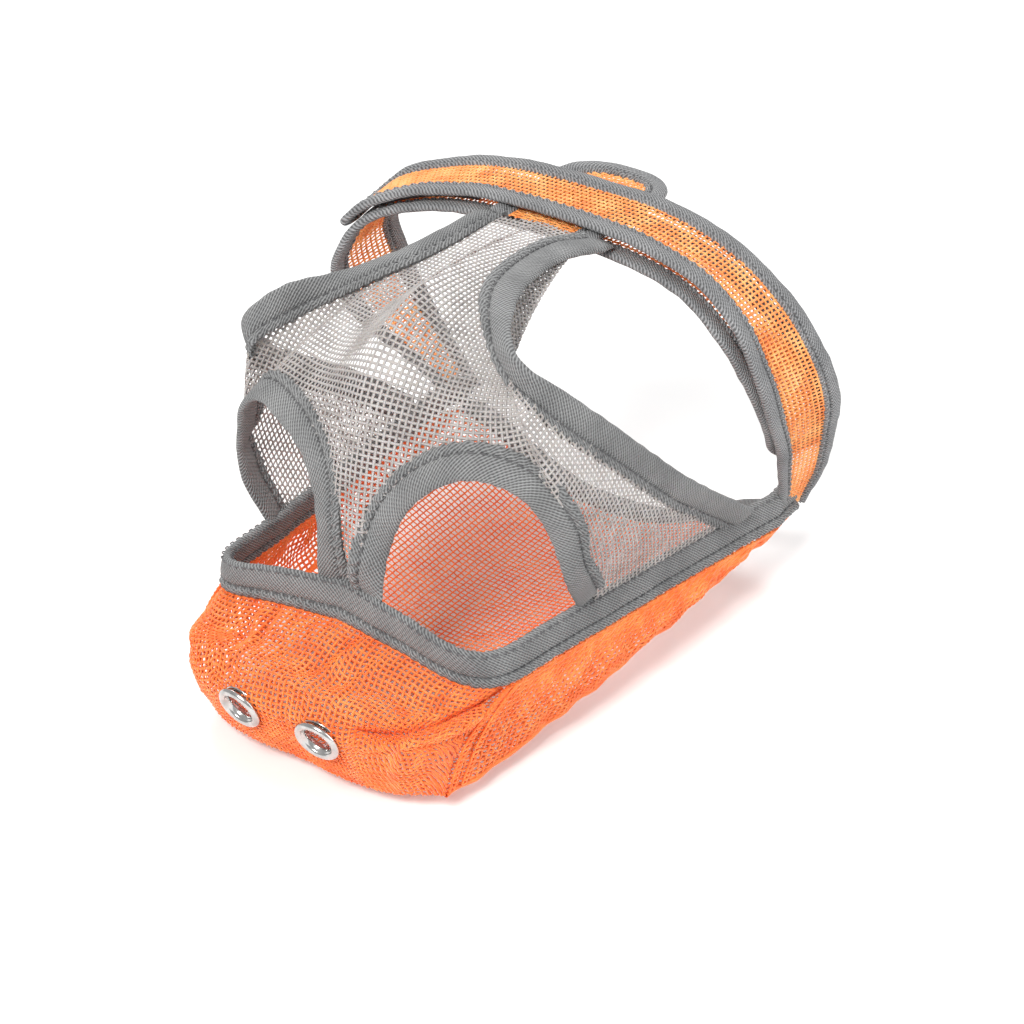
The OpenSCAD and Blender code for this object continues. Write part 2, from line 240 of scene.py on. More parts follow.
# Collar ring: s stations from the dog's left root, w across it, h outwards
ring_front = np.vstack([np.array(ring_front_left[::-1], float), flip(ring_front_right)[1:]])
ring_rear = np.vstack([np.array(ring_rear_left[::-1], float), flip(ring_rear_right)[1:]])


def ring_at(s, w, h):
    s, w, h = (np.atleast_1d(np.asarray(x, float)) for x in (s, w, h))
    f, r = spline(ring_front, s, True), spline(ring_rear, s, True)
    e = (spline(ring_front, s + 0.1, True) + spline(ring_rear, s + 0.1, True)
         - spline(ring_front, s - 0.1, True) - spline(ring_rear, s - 0.1, True))
    out = unit(np.cross(r - f, e))
    return f + (r - f) * (w / ring_w)[:, None] + h[:, None] * out


inner_root = last_s - 0.5
outer_l = (outer_end - root_gap) * station
inner_l = (inner_root - inner_end) * station


def outer_place(x, y, h=0.0):
    """A point on the outer strap, x along it and y across; its far end droops onto the inner strap."""
    near = np.clip((x - outer_l + 70) / 60, 0, 1)
    return ring_at(root_gap + x / station, y + 0 * x, h - 2.1 * near * near * (3 - 2 * near))


def inner_place(x, y, h=0.0):
    """The same on the inner strap, which comes out to the ring near its root and rises at its far end."""
    lift = strap_lift * np.sin(math.pi / 2 * np.clip((x - 42) / 42, 0, 1)) ** 2
    near = np.clip((x - inner_l + 75) / 60, 0, 1)
    return ring_at(inner_root - x / station, ring_w - y + 0 * x, h - lift + 2.2 * near * near * (3 - 2 * near))


def tongue_place(x, y, h=0.0):
    return ring_at(top_s + (y - tongue_w / 2) / (station + 1) + 0 * x, tongue_start + x, h - strap_lift / 2 + 0 * x)


# ---------------------------------------------------------------- mesh building
def make(name, verts, faces, mat, body, uv=None):
    """A mesh object from millimetres. Pieces on the mask ride on it; the straps' pieces are left without a parent."""
    me = bpy.data.meshes.new(name)
    me.from_pydata((np.asarray(verts) * MM).tolist(), [], [list(map(int, f)) for f in faces])
    if uv is not None:
        layer = me.uv_layers.new(name="cloth")
        idx = np.empty(len(me.loops), int)
        me.loops.foreach_get("vertex_index", idx)
        layer.data.foreach_set("uv", (np.asarray(uv)[idx] * MM).astype(np.float32).ravel())
    me.materials.append(mat)
    me.polygons.foreach_set("use_smooth", [True] * len(me.polygons))
    me.update()
    ob = bpy.data.objects.new(name, me)
    bpy.context.scene.collection.objects.link(ob)
    if body == "mask":
        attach(ob, body)
    return ob


def face_outwards(ob):
    bm = bmesh.new()
    bm.from_mesh(ob.data)
    bmesh.ops.recalc_face_normals(bm, faces=bm.faces)
    bm.to_mesh(ob.data)
    bm.free()


def tube_quads(n, sides):
    """Faces between n rings of points."""
    k = np.arange(n - 1)[:, None] * sides
    j = np.arange(sides)[None]
    return np.stack([k + j, k + (j + 1) % sides, k + sides + (j + 1) % sides, k + sides + j], -1).reshape(-1, 4)


def grid_arrays(P):
    """Vertices and triangles of a grid of points, with the diagonals turned in alternate cells."""
    r, c = P.shape[:2]
    k = np.arange(r * c).reshape(r, c)
    a, b, d, e = k[:-1, :-1].ravel(), k[:-1, 1:].ravel(), k[1:, 1:].ravel(), k[1:, :-1].ravel()
    flipit = ((np.arange(len(a)) // (c - 1) + np.arange(len(a)) % (c - 1)) % 2).astype(bool)[:, None]
    t1 = np.where(flipit, np.stack([a, b, e], 1), np.stack([a, b, d], 1))
    t2 = np.where(flipit, np.stack([b, d, e], 1), np.stack([a, d, e], 1))
    return P.reshape(-1, 3), np.vstack([t1, t2])


def row_lengths(P, axis, middle=False):
    """Distance along a grid from its start, or from its middle column."""
    d = np.linalg.norm(np.diff(P, axis=axis), axis=2)
    out = np.zeros(P.shape[:2])
    if axis == 1:
        out[:, 1:] = np.cumsum(d, 1)
        if middle:
            out -= out[:, out.shape[1] // 2][:, None]
    else:
        out[1:] = np.cumsum(d, 0)
    return out


def threads(V, T, N, f, g, width, thick, amp, parity):
    """Tubes along the whole-number lines of f, woven over and under the lines of g."""
    F = f[T]
    lo, hi = np.ceil(F.min(1)).astype(int), np.floor(F.max(1)).astype(int)
    cnt = np.maximum(hi - lo + 1, 0)
    tri = np.repeat(np.arange(len(T)), cnt)
    L = np.repeat(lo, cnt) + np.arange(cnt.sum()) - np.repeat(np.cumsum(cnt) - cnt, cnt)
    Ft = F[tri] - L[:, None]
    I, J = np.array([0, 1, 2]), np.array([1, 2, 0])
    cut = Ft[:, I] * Ft[:, J] < 0
    ok = cut.sum(1) == 2
    tri, L, cut = tri[ok], L[ok], cut[ok]
    e = np.argsort(~cut, axis=1, kind="stable")[:, :2]
    vi, vj = np.take_along_axis(T[tri], I[e], 1), np.take_along_axis(T[tri], J[e], 1)
    w = (L[:, None] - f[vi]) / (f[vj] - f[vi])
    key = (np.minimum(vi, vj) * len(V) + np.maximum(vi, vj)) * 4096 + (L[:, None] + 2048)
    _, first, inv = np.unique(key.ravel(), return_index=True, return_inverse=True)
    inv = inv.reshape(-1, 2)

    def at(q):
        x = q[vi] * (1 - w[..., None]) + q[vj] * w[..., None]
        return x.reshape(-1, q.shape[1])[first]

    # direction in which f grows, per vertex
    p0, p1, p2 = V[T[:, 0]], V[T[:, 1]], V[T[:, 2]]
    nt = np.cross(p1 - p0, p2 - p0)
    n2 = np.maximum((nt ** 2).sum(1, keepdims=True), 1e-12)
    gr = (F[:, :1] * np.cross(nt, p2 - p1) + F[:, 1:2] * np.cross(nt, p0 - p2)
          + F[:, 2:] * np.cross(nt, p1 - p0)) / n2
    G = np.zeros_like(V)
    for k in range(3):
        np.add.at(G, T[:, k], gr * np.sqrt(n2))
    p, n, side, gg = at(V), unit(at(N)), unit(at(unit(G))), at(g[:, None])[:, 0]
    level = np.repeat(L[:, None], 2, 1).ravel()[first]
    side = unit(side - n * (side * n).sum(1, keepdims=True))
    wob = 1 + 0.07 * ripple(gg, level * 7.3, 3, 4.0)
    p = p + n * (parity * amp * np.cos(math.pi * gg) * np.where(level % 2 == 0, 1, -1))[:, None]
    p = p + side * (0.04 * ripple(gg, level * 3.1, 5, 6.0))[:, None]
    ring = np.stack([p + side * (width / 2 * wob)[:, None], p + n * thick / 2,
                     p - side * (width / 2 * wob)[:, None], p - n * thick / 2], 1)
    a, b = inv[:, 0], inv[:, 1]
    back = ((p[b] - p[a]) * np.cross(side[a], n[a])).sum(1) > 0
    a, b = np.where(back, b, a), np.where(back, a, b)
    quads = np.concatenate([np.stack([4 * a + k, 4 * a + (k + 1) % 4, 4 * b + (k + 1) % 4, 4 * b + k], 1)
                            for k in range(4)])
    caps = []
    starts, ends = np.bincount(a, minlength=len(p)), np.bincount(b, minlength=len(p))
    for m, order in ((ends == 0, [3, 2, 1, 0]), (starts == 0, [0, 1, 2, 3])):
        q = np.nonzero(m & (starts + ends > 0))[0]
        caps.append(np.stack([4 * q + k for k in order], 1))
    return ring.reshape(-1, 3), np.vstack([quads, *caps])


def vertex_normals(V, T):
    n = np.cross(V[T[:, 1]] - V[T[:, 0]], V[T[:, 2]] - V[T[:, 0]])
    N = np.zeros_like(V)
    for k in range(3):
        np.add.at(N, T[:, k], n)
    return unit(N)


def net(name, V, T, a, b, pitch, width, thick, amp, mat, body, slot, extra=()):
    """Woven mesh on a triangulated panel: a and b are cloth coordinates, pitch and width are pairs."""
    N = vertex_normals(V, T)
    (pa, pb), (wa, wb) = pitch, width
    fa, fb = a / pa + 0.137, b / pb + 0.271
    v1, q1 = threads(V, T, N, fa, fb, wa, thick, amp, 1)
    v2, q2 = threads(V, T, N, fb, fa, wb, thick, amp, -1)
    verts, faces = [v1, v2], [q1, q2 + len(v1)]
    n = len(v1) + len(v2)
    for ev, ef in extra:
        verts.append(ev)
        faces.append(np.asarray(ef) + n)
        n += len(ev)
    verts = np.vstack(verts)
    return make(name, verts, np.vstack(faces), mat, body, uv=verts[:, [0, 2]])


def tube(path, r, sides):
    path = np.asarray(path, float)
    t = unit(np.gradient(path, axis=0))
    ref = np.where(np.abs(t[:, 2:3]) > 0.9, [[1.0, 0, 0]], [[0, 0, 1.0]])
    x = unit(np.cross(t, ref))
    y = np.cross(t, x)
    a = np.arange(sides) * math.tau / sides
    around = np.cos(a)[None, :, None] * x[:, None] + np.sin(a)[None, :, None] * y[:, None]
    return (path[:, None] + r * around).reshape(-1, 3), tube_quads(len(path), sides)


# Folded tape: a wide rounded band from the fold at 0, a stitched groove, and a narrow lip to 1
TOP = [(0.0, 0.0), (0.015, 0.34), (0.05, 0.66), (0.11, 0.88), (0.2, 1.0), (0.34, 1.06), (0.48, 1.04), (0.58, 0.94),
       (0.64, 0.78), (0.68, 0.42), (0.71, 0.25), (0.735, 0.4), (0.77, 0.72), (0.84, 0.9), (0.9, 0.82), (0.95, 0.62),
       (0.985, 0.3), (1.0, 0.05)]
GROOVE = 0.71
TAPE_STEP, PUCKER_PITCH, STITCH_PITCH, STITCH_R = 0.55, 2.45, 2.55, 0.17


def tape(name, fold, lip, mat, body, thick=2.2, seed=1, thin_ends=True, groove=(GROOVE,), pucker=1.0):
    """A binding between its folded edge and its lip edge, with rows of stitches in the grooves."""
    mid = (fold + lip) / 2
    mid, e0, e1 = even(mid, TAPE_STEP, fold, lip)
    n = len(mid)
    s = lengths(mid)
    t = unit(np.gradient(mid, axis=0))
    nrm = unit(np.cross(e1 - e0, t))
    if (nrm * (mid - [0, 8, 52])).sum() < 0:
        nrm = -nrm
    w = np.linalg.norm(e1 - e0, axis=1)
    half = np.full(n, thick / 2)
    if thin_ends:
        half = half * (0.45 + 0.55 * np.clip(np.minimum(s, s[-1] - s) / 3.0, 0, 1))
    wavy = ripple(s, 0 * s, seed, 17) * 0.22 * pucker
    lipw = 0.16 * np.sin(s * math.tau / PUCKER_PITCH + 1.6 * ripple(s, 0 * s, seed + 3, 9)) * pucker
    foldw = 0.10 * ripple(s, 0 * s, seed + 5, 4) * pucker
    prof = [(q, h, 1) for q, h in TOP] + [(q, h, -1) for q, h in TOP[-2:0:-1]]
    rows = []
    for q, h, sg in prof:
        dent = 1.0
        if 0.72 < q < 0.99:
            dent = 1 + 0.28 * np.sin(s * math.tau / PUCKER_PITCH + seed) * pucker
        elif q < 0.68:
            dent = 1 + 0.07 * ripple(s, 9.0 * q + 0 * s, seed + 1, 6) * pucker
        base = e0 + (e1 - e0) * q
        along = unit(e1 - e0) * (lipw * max(0, (q - 0.6) / 0.4) + foldw * max(0, 1 - q / 0.3))[:, None]
        rows.append(base + along + nrm * (sg * half * h * dent + wavy * (1 - abs(2 * q - 1) * 0.5))[:, None])
    m = len(prof)
    faces = list(tube_quads(n, m)) + [list(range(m)), list(range((n - 1) * m, n * m))[::-1]]
    uv = np.stack([np.repeat(s, m), (w[:, None] * np.array([q * sg for q, h, sg in prof])[None]).ravel()], 1)
    ob = make(name, np.stack(rows, 1).reshape(-1, 3), faces, mat, body, uv=uv)
    face_outwards(ob)
    sv, sf, base = [], [], 0
    for g in groove:
        row = e0 + (e1 - e0) * g + nrm * (wavy * 0.8)[:, None]
        lift = (thick / 2) * (0.42 if g == GROOVE else 1.0)
        for sg in (1, -1):
            for c in np.arange(1.6, s[-1] - 1.6, STITCH_PITCH):
                c = c + rng.uniform(-0.12, 0.12)
                p = np.array([[np.interp(c + d, s, row[:, k]) for k in range(3)] for d in (-0.75, -0.45, 0.45, 0.75)])
                nn = unit(np.array([np.interp(c, s, nrm[:, k]) for k in range(3)]))
                p = p + nn * sg * (lift + np.array([-0.35, 0.16, 0.16, -0.35]))[:, None]
                v, q = tube(p, STITCH_R, 6)
                sv.append(v)
                sf.append(q + base)
                base += len(v)
    return ob, make(name + "_stitching", np.vstack(sv), np.vstack(sf), stitch_mat, body)


# ---------------------------------------------------------------- materials
def nodes_of(name):
    m = bpy.data.materials.new(name)
    m.use_nodes = True
    nt = m.node_tree
    return m, nt, nt.nodes["Principled BSDF"]


def noise_mix(nt, coord, scale, stops, detail=3.0):
    """Colour that drifts between the stops with a noise of the given scale."""
    no = nt.nodes.new("ShaderNodeTexNoise")
    no.inputs["Scale"].default_value = scale
    no.inputs["Detail"].default_value = detail
    nt.links.new(coord, no.inputs["Vector"])
    ra = nt.nodes.new("ShaderNodeValToRGB")
    while len(ra.color_ramp.elements) < len(stops):
        ra.color_ramp.elements.new(0.5)
    for e, (pos, col) in zip(ra.color_ramp.elements, stops):
        e.position = pos
        e.color = (*col, 1)
    nt.links.new(no.outputs["Fac"], ra.inputs["Fac"])
    return ra.outputs["Color"]


def bump(nt, bsdf, height, strength, distance):
    b = nt.nodes.new("ShaderNodeBump")
    b.inputs["Strength"].default_value = strength
    b.inputs["Distance"].default_value = distance
    nt.links.new(height, b.inputs["Height"])
    nt.links.new(b.outputs["Normal"], bsdf.inputs["Normal"])


def yarn(name, dark, mid, light, rough=0.55, sheen=0.25, sub=0.0):
    """Plied yarn: colour drifts over a few millimetres, with fine filaments in the bump."""
    m, nt, b = nodes_of(name)
    tc = nt.nodes.new("ShaderNodeTexCoord")
    col = noise_mix(nt, tc.outputs["Object"], 190.0, [(0.3, dark), (0.5, mid), (0.72, light)])
    nt.links.new(col, b.inputs["Base Color"])
    fine = nt.nodes.new("ShaderNodeTexNoise")
    fine.inputs["Scale"].default_value = 5200.0
    nt.links.new(tc.outputs["Object"], fine.inputs["Vector"])
    bump(nt, b, fine.outputs["Fac"], 0.35, 0.00008)
    b.inputs["Roughness"].default_value = rough
    b.inputs["Sheen Weight"].default_value = sheen
    b.inputs["Sheen Roughness"].default_value = 0.4
    if sub:
        b.inputs["Subsurface Weight"].default_value = sub
        b.inputs["Subsurface Radius"].default_value = (1.0, 0.45, 0.2)
        b.inputs["Subsurface Scale"].default_value = 0.0006
    return m


WAVE = 0.31416  # a wave texture's scale times its repeat


def twill(name, dark, light, angle=0.9, pitch=0.62):
    """Tape woven on the bias: ribs in the cloth's own coordinates, colour drifting at random, with painted shade
    darkening the hollows between the ribs.
    """
    m, nt, b = nodes_of(name)
    tc = nt.nodes.new("ShaderNodeTexCoord")

    def ribs(turn, apart, distortion):
        mp = nt.nodes.new("ShaderNodeMapping")
        mp.inputs["Rotation"].default_value = (0, 0, turn)
        nt.links.new(tc.outputs["UV"], mp.inputs["Vector"])
        wave = nt.nodes.new("ShaderNodeTexWave")
        wave.inputs["Scale"].default_value = WAVE / (apart * MM)
        wave.inputs["Distortion"].default_value = distortion
        nt.links.new(mp.outputs["Vector"], wave.inputs["Vector"])
        return wave

    wv, wv2 = ribs(angle, pitch, 1.2), ribs(angle - 1.57, pitch * 1.5, 1.5)
    wv.inputs["Detail"].default_value = 1.0
    wv.inputs["Detail Scale"].default_value = 1.5
    mul = nt.nodes.new("ShaderNodeMath")
    mul.operation = "MULTIPLY_ADD"
    mul.inputs[1].default_value = 0.45
    nt.links.new(wv2.outputs["Fac"], mul.inputs[0])
    nt.links.new(wv.outputs["Fac"], mul.inputs[2])
    col = noise_mix(nt, tc.outputs["Object"], 95.0, [(0.28, dark), (0.72, light)], 5.0)
    mix = nt.nodes.new("ShaderNodeMix")
    mix.data_type = "RGBA"
    mix.blend_type = "MULTIPLY"
    mix.inputs["Factor"].default_value = 1.0
    # painted shade: the rib height darkens the colour in the hollows between the ribs and leaves the rib tops light
    ramp = nt.nodes.new("ShaderNodeValToRGB")
    low, high = ramp.color_ramp.elements
    low.position, low.color = 0.3, (0.3, 0.3, 0.3, 1)
    high.position, high.color = 0.95, (1, 1, 1, 1)
    nt.links.new(mul.outputs[0], ramp.inputs["Fac"])
    nt.links.new(col, mix.inputs[6])
    nt.links.new(ramp.outputs["Color"], mix.inputs[7])
    nt.links.new(mix.outputs[2], b.inputs["Base Color"])
    bump(nt, b, mul.outputs[0], 1.0, 0.0003)
    b.inputs["Roughness"].default_value = 0.72
    b.inputs["Sheen Weight"].default_value = 0.15
    b.inputs["Sheen Roughness"].default_value = 0.5
    return m


def pile(name, dark, light, scale):
    """Hook or loop pile: small tufts, with painted shade darkening the gaps between them."""
    m, nt, b = nodes_of(name)
    tc = nt.nodes.new("ShaderNodeTexCoord")
    vo = nt.nodes.new("ShaderNodeTexVoronoi")
    vo.inputs["Scale"].default_value = scale
    nt.links.new(tc.outputs["Object"], vo.inputs["Vector"])
    # painted shade: the colour goes dark from each tuft's middle towards the edges of its cell
    ra = nt.nodes.new("ShaderNodeValToRGB")
    ra.color_ramp.elements[0].color = (*light, 1)
    ra.color_ramp.elements[1].color = (*dark, 1)
    ra.color_ramp.elements[1].position = 0.7
    nt.links.new(vo.outputs["Distance"], ra.inputs["Fac"])
    nt.links.new(ra.outputs["Color"], b.inputs["Base Color"])
    bump(nt, b, vo.outputs["Distance"], 1.0, 0.0005)
    b.inputs["Roughness"].default_value = 0.85
    b.inputs["Sheen Weight"].default_value = 0.4
    return m


orange_mat = yarn("orange_yarn", (0.90, 0.135, 0.015), (0.97, 0.19, 0.03), (1.0, 0.26, 0.055), sub=0.3)
# painted light: the collar's yarn is a lighter copy of the orange yarn, standing in for brighter light on the collar,
# and its light stop is a painted highlight
lit_collar_mat = yarn("collar_yarn_lit", (0.80, 0.22, 0.045), (0.94, 0.33, 0.085), (1.0, 0.46, 0.16), sub=0.25)
tulle_mat = yarn("grey_yarn", (0.29, 0.268, 0.26), (0.36, 0.335, 0.325), (0.43, 0.405, 0.395), sub=0.1)
tape_mat = twill("tape_twill", (0.19, 0.195, 0.20), (0.32, 0.325, 0.33))
strap_tape_mat = twill("strap_twill", (0.22, 0.225, 0.235), (0.35, 0.355, 0.365))
stitch_mat = yarn("stitch_thread", (0.06, 0.06, 0.065), (0.09, 0.09, 0.095), (0.13, 0.13, 0.135), rough=0.5,
                  sheen=0.1)
hook_mat = pile("hook_pile", (0.03, 0.03, 0.033), (0.16, 0.16, 0.17), 1500.0)
loop_mat = pile("loop_pile", (0.10, 0.10, 0.11), (0.34, 0.34, 0.35), 1100.0)
nickel, nt, b = nodes_of("bright_nickel")
tc = nt.nodes.new("ShaderNodeTexCoord")
col = noise_mix(nt, tc.outputs["Object"], 420.0, [(0.3, (0.42, 0.415, 0.405)), (0.6, (0.60, 0.59, 0.58))], 6.0)
nt.links.new(col, b.inputs["Base Color"])
fine = nt.nodes.new("ShaderNodeTexNoise")
fine.inputs["Scale"].default_value = 900.0
nt.links.new(tc.outputs["Object"], fine.inputs["Vector"])
bump(nt, b, fine.outputs["Fac"], 0.12, 0.0001)
b.inputs["Metallic"].default_value = 1.0
b.inputs["Roughness"].default_value = 0.2


# ---------------------------------------------------------------- eyelets
def eyelet_frame(s):
    """Middle and outward direction of one eyelet."""
    u, f = eyelet_gap / 92, 0.58
    m = front_at(u, f)[0]
    n = unit(np.cross(front_at(u + 0.02, f)[0] - front_at(u - 0.02, f)[0],
                      front_at(u, f - 0.02)[0] - front_at(u, f + 0.02)[0]))
    return m * [s, 1, 1], n * [s, 1, 1]


def lathe(name, s, prof, mat, sides=72):
    """A closed profile of radius and height turned round one eyelet's axis."""
    m, n = eyelet_frame(s)
    x = unit(np.cross(n, [0, 0, 1.0]))
    y = np.cross(n, x)
    a = np.arange(sides) * math.tau / sides
    rad = np.cos(a)[:, None] * x + np.sin(a)[:, None] * y
    v = np.stack([m + r * rad + z * n for r, z in prof], 1).reshape(-1, 3)
    k = len(prof)
    i = np.arange(sides)[:, None]
    j, j1, i1 = np.arange(k)[None], (np.arange(k)[None] + 1) % k, (i + 1) % sides
    q = np.stack([i * k + j, i * k + j1, i1 * k + j1, i1 * k + j], -1).reshape(-1, 4)
    ob = make(name, v, q, mat, "mask")
    face_outwards(ob)
    return ob


for side, s in (("left", 1), ("right", -1)):
    roll = [(4.78 + 0.95 * math.cos(a), 0.5 + 0.95 * math.sin(a)) for a in np.linspace(-0.15, math.pi * 0.93, 16)]
    prof = roll + [(3.5, 0.6), (3.5, -1.15), (3.62, -1.32), (3.85, -1.32), (3.98, -1.15), (3.98, 0.3), (4.5, 0.42),
                   (5.3, 0.36)]
    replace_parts(lathe("eyelet_ring_" + side, s, prof, nickel), "eyelet_" + side)
    prof = [(4.12, -0.58), (4.6, -0.52), (5.1, -0.58), (5.25, -0.8), (5.1, -1.05), (4.6, -1.1), (4.12, -1.1)]
    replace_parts(lathe("eyelet_backing_" + side, s, prof, nickel), "washer_" + side)

# ---------------------------------------------------------------- pouch nets
eyelet_at = [eyelet_frame(1)[0], eyelet_frame(-1)[0]]


def creased(P, U, Fr):
    """The front's soft folds: a ridge under the seam, gathers, and one pinch from the near corner."""
    r, c = P.shape[:2]
    V, T = grid_arrays(P)
    N = vertex_normals(V, T).reshape(r, c, 3)
    if (N * (P - [0, 0, 20])).sum() < 0:
        N = -N
    clear = np.clip((np.min([np.linalg.norm(P - e, axis=2) for e in eyelet_at], 0) - 5.5) / 6.0, 0, 1)
    wave = 0.02 * np.sin(U * 6 + 1)

    def hump(x, wide):
        return np.exp(-(x / wide) ** 2)

    d = -1.9 * hump(Fr - 0.1 - wave, 0.055) + 1.5 * hump(Fr - 0.235 - wave, 0.055)
    d -= 0.6 * hump(Fr - 0.38, 0.08)
    d *= 1 - np.where(U < 0, 0.95, 0.6) * U ** 4
    gathers = ((-0.42, 1.5, 0.5), (-0.3, 1.2, 0.2), (0.12, 1.6, -0.5), (0.24, 1.0, -0.3), (0.62, 1.0, 0.4))
    for u0, deep, slant in gathers:
        x = (U - u0 - slant * Fr) * 38
        d += deep * (0.7 * hump(x - 2.2, 1.5) - hump(x, 1.1)) * hump(Fr, 0.17)
    a, e = np.array([0.97, 0.05]), np.array([0.40, 0.40])
    ab = e - a
    x = ((U - a[0]) * ab[0] + (Fr - a[1]) * ab[1]) / (ab ** 2).sum()
    h = ((U - a[0] - np.clip(x, 0, 1) * ab[0]) * 34, (Fr - a[1] - np.clip(x, 0, 1) * ab[1]) * 40)
    off = np.sign(h[1]) * np.hypot(*h)
    fade = hump(np.maximum(0, np.abs(x - 0.4) - 0.45), 0.2)
    d += fade * (-3.9 * hump(off, 2.1) + 1.7 * hump(off - 3.6, 2.2) + 0.8 * hump(off + 3.2, 1.8))
    d += 0.35 * ripple(U * 30, Fr * 34, 11, 13)
    return P + N * (d * clear)[..., None]


def without(V, T, centres, r):
    """The triangles that lie further than r from every centre."""
    c = V[T].mean(1)
    far = np.min([np.linalg.norm(c - e, axis=1) for e in centres], 0) > r
    return T[far]


fr_rows, fr_cols = 46, 96
U, Fr = np.meshgrid(np.linspace(-1, 1, fr_cols + 1), np.linspace(0, 1, fr_rows + 1))
P = front_at(U.ravel(), Fr.ravel()).reshape(fr_rows + 1, fr_cols + 1, 3)
P = creased(P, U, Fr)
top = lean(both_sides(spline(seam_pts, np.linspace(0, corner, fr_cols // 2 + 1))), -2.6) + [0, 0.2, 0]
P = np.concatenate([top[None], P])
V, T = grid_arrays(P)
A, B = row_lengths(P, 1, True), row_lengths(P, 0)
HOLE_R = 4.1
T = without(V, T, eyelet_at, HOLE_R)
ORANGE = (orange_mat, "mask", "orange_mesh")
PITCH, WIDE, THICK, OVER = (1.36, 1.36), (0.68, 0.68), 0.4, 0.13
front = net("front_mesh", V, T, A.ravel(), B.ravel(), PITCH, WIDE, THICK, OVER, *ORANGE)
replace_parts(front, "front_panel")

for side, s in (("left", 1), ("right", -1)):
    rows, cols = 26, 118
    Vv, Ff = np.meshgrid(np.linspace(0, 1, cols + 1), np.linspace(0, 1, rows + 1))
    P = cheek_at(Vv.ravel(), Ff.ravel()).reshape(rows + 1, cols + 1, 3)
    top = lean(spline(seam_pts, corner + (7.85 - corner) * np.linspace(0, 1, cols + 1)), -2.6)
    P = np.concatenate([top[None], P])
    V, T = grid_arrays(P)
    N = vertex_normals(V, T).reshape(P.shape)
    N = N * np.sign((N * [1, 0, 0]).sum())
    held = np.clip(np.r_[0, np.linspace(0, 1, rows + 1)] * 4, 0, 1)[:, None]
    fold = 0.5 * ripple(P[..., 1], P[..., 2] * 1.5, 21 + s, 15) * held
    P = (P + N * fold[..., None]) * [s, 1, 1]
    V, T = grid_arrays(P)
    A, B = row_lengths(P, 1), row_lengths(P, 0)
    ob = net("cheek_mesh_" + side, V, T, A.ravel(), B.ravel(), (1.9, 1.45), (0.78, 0.66), THICK, OVER, *ORANGE,
             extra=[tube(P[-1][::2], 0.65, 7)])
    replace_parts(ob, "cheek_panel_" + side)
    # two ladders of stitches down the corner, and the doubled edge of the cloth inside it
    edge = front_at(np.full(33, s * 1.0), np.linspace(0.02, 0.97, 33))
    down = np.linspace(0.0, 0.97, 33)
    inward = unit(np.array([[-s * 0.55, 0.85, 0.0]]))
    outward = unit(np.array([[s * 0.8, -0.6, 0.0]]))
    ladder = []
    for back_v in (0.014, 0.052):
        rail = cheek_at(np.full(33, back_v), down) * [s, 1, 1] + outward * 0.5
        for sh in (-0.75, 0.75):
            ladder.append(tube(cheek_at(np.full(33, back_v + sh / 125), down) * [s, 1, 1] + outward * 0.45, 0.3, 6))
        for p in even(rail, 1.3)[0]:
            rung = np.array([p + [s * -0.1, -0.75, 0.1], p + outward[0] * 0.2, p + [s * 0.1, 0.75, -0.1]])
            ladder.append(tube(rung, 0.27, 6))
    inner_edge = edge[2:-2] + [-s * 1.3, 1.3, 0]
    W = np.stack([inner_edge + inward * k for k in np.linspace(0, 4.5, 6)], 0)
    V, T = grid_arrays(W)
    ob = net("corner_ladder_" + side, V, T, row_lengths(W, 1).ravel(), row_lengths(W, 0).ravel(), PITCH, WIDE, THICK,
             0.1, *ORANGE, extra=ladder)
    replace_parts(ob, "corner_seam_" + side)

rows, cols = 92, 72
Uu, Vv = np.meshgrid(np.linspace(-1, 1, cols + 1), np.linspace(0, 1, rows + 1))
P = chin_at(Uu.ravel(), Vv.ravel()).reshape(rows + 1, cols + 1, 3)
P[..., 2] += 0.5 * np.abs(ripple(P[..., 0], P[..., 1], 31, 22)) * (1 - Uu ** 2) * (1 - (2 * Vv - 1) ** 2)
V, T = grid_arrays(P)
A, B = row_lengths(P, 1, True), row_lengths(P, 0)
chin = net("chin_mesh", V, T, A.ravel(), B.ravel(), (1.5, 1.5), (0.45, 0.45), THICK, 0.1, *ORANGE)
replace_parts(chin, "chin_panel")

# ---------------------------------------------------------------- face net
bm = bmesh.new()
for s in (1, -1):
    a, b_ = eye_band(s, bind_w - 3.0), face_edge(s, bind_w / 2 - 2.5)
    f = np.linspace(0, 1, 8)
    G = np.stack([a + (b_ - a) * x + 2 * x * (1 - x) * face_push(s) for x in f])
    G[-1, :nose_n + 1, 0] = 0
    G = finer(G, 44, 128)
    G[-1, :129 * nose_n // eye_n, 0] = 0
    # the lower edge runs on down behind the seam binding
    G = np.concatenate([G, *[G[:, -1:] + [-0.25 * k, 0.5 * k, -1.25 * k] for k in (1, 2, 3, 4)]], 1)
    G = G * [s, 1, 1]
    V, T = grid_arrays(G)
    vs = [bm.verts.new(p) for p in V]
    for t in T:
        try:
            bm.faces.new([vs[k] for k in (t if s > 0 else t[::-1])])
        except ValueError:
            pass
bmesh.ops.remove_doubles(bm, verts=bm.verts, dist=0.02)
bmesh.ops.dissolve_degenerate(bm, edges=bm.edges, dist=0.01)
bmesh.ops.triangulate(bm, faces=bm.faces)
me = bpy.data.meshes.new("flat_pattern")
bm.to_mesh(me)
bm.free()
pat = bpy.data.objects.new("flat_pattern", me)
bpy.context.scene.collection.objects.link(pat)
bpy.context.view_layer.objects.active = pat
pat.select_set(True)
bpy.ops.object.mode_set(mode="EDIT")
bpy.ops.mesh.select_all(action="SELECT")
bpy.ops.uv.unwrap(method="ANGLE_BASED", margin=0.0)
bpy.ops.object.mode_set(mode="OBJECT")
V = np.array([v.co[:] for v in me.vertices])
T = np.array([p.vertices[:] for p in me.polygons])
uvl = np.zeros((len(V), 2))
